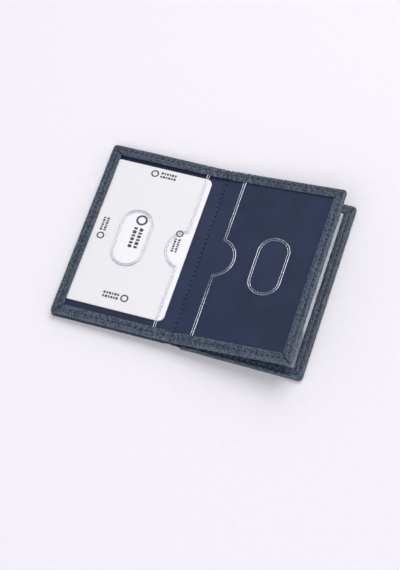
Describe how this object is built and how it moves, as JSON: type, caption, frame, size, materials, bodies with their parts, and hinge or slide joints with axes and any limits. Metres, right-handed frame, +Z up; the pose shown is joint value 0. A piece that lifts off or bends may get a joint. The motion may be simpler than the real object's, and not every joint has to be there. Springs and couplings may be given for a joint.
{
  "type": "passport holder",
  "caption": "Slim leather document and card holder, opened flat: a folding cover with a stiffened spine strip, clear window pockets and a hinged window leaf.",
  "frame": {"origin": "on the table under the middle of the open spread's box", "axes": "+X runs across the open spread from the front cover to the back cover, +Y along the spine, +Z up"},
  "size_m": [0.1328, 0.1036, 0.0173],
  "materials": {
    "leather": "pebbled full-grain cowhide, dyed navy",
    "lining": "smooth matte coated lining cloth, navy",
    "reinforcement_board": "bonded fibre board, unfinished",
    "window_film": "clear flexible PVC film, glossy",
    "thread": "waxed polyester thread, navy",
    "sample_card": "laminated white PVC card, satin"
  },
  "bodies": {
    "front_cover": {"front_cover_leather": "leather", "front_cover_board": "reinforcement_board", "front_cover_lining": "lining", "front_cover_stitching": "thread", "front_panel_leather": "leather", "front_panel_board": "reinforcement_board", "front_panel_lining": "lining", "front_panel_window_film": "window_film", "front_panel_inner_stitching": "thread"},
    "sample_card": {"sample_card": "sample_card"},
    "middle_leaf": {"middle_leaf_leather": "leather", "middle_leaf_board": "reinforcement_board", "middle_leaf_lining": "lining", "middle_leaf_window_film": "window_film", "middle_leaf_inner_stitching": "thread", "middle_leaf_outer_stitching": "thread", "spine_seam_stitching": "thread"},
    "spine_strip": {"spine_leather": "leather", "spine_lining": "lining"},
    "back_cover": {"back_cover_leather": "leather", "back_cover_board": "reinforcement_board", "back_cover_lining": "lining", "back_cover_window_film": "window_film", "back_cover_inner_stitching": "thread", "back_cover_outer_stitching": "thread"}
  },
  "joints": [
    {"name": "front_cover_hinge", "type": "hinge", "parent": "middle_leaf", "child": "front_cover", "pos_m": [-0.00255, 0, 0.00722], "axis": [0, 1, 0], "range_deg": [-5, 172]},
    {"name": "spine_seam_hinge", "type": "hinge", "parent": "middle_leaf", "child": "spine_strip", "pos_m": [-0.00255, 0, 0.00377], "axis": [0, 1, 0], "range_deg": [0, 105]},
    {"name": "back_cover_hinge", "type": "hinge", "parent": "spine_strip", "child": "back_cover", "pos_m": [0.00245, 0, 0.00028], "axis": [0, 1, 0], "range_deg": [-11.2, 55]},
    {"name": "card_slide", "type": "slide", "parent": "front_cover", "child": "sample_card", "axis": [0.9991, 0, 0.0419], "range_m": [0, 0.0058]}
  ]
}
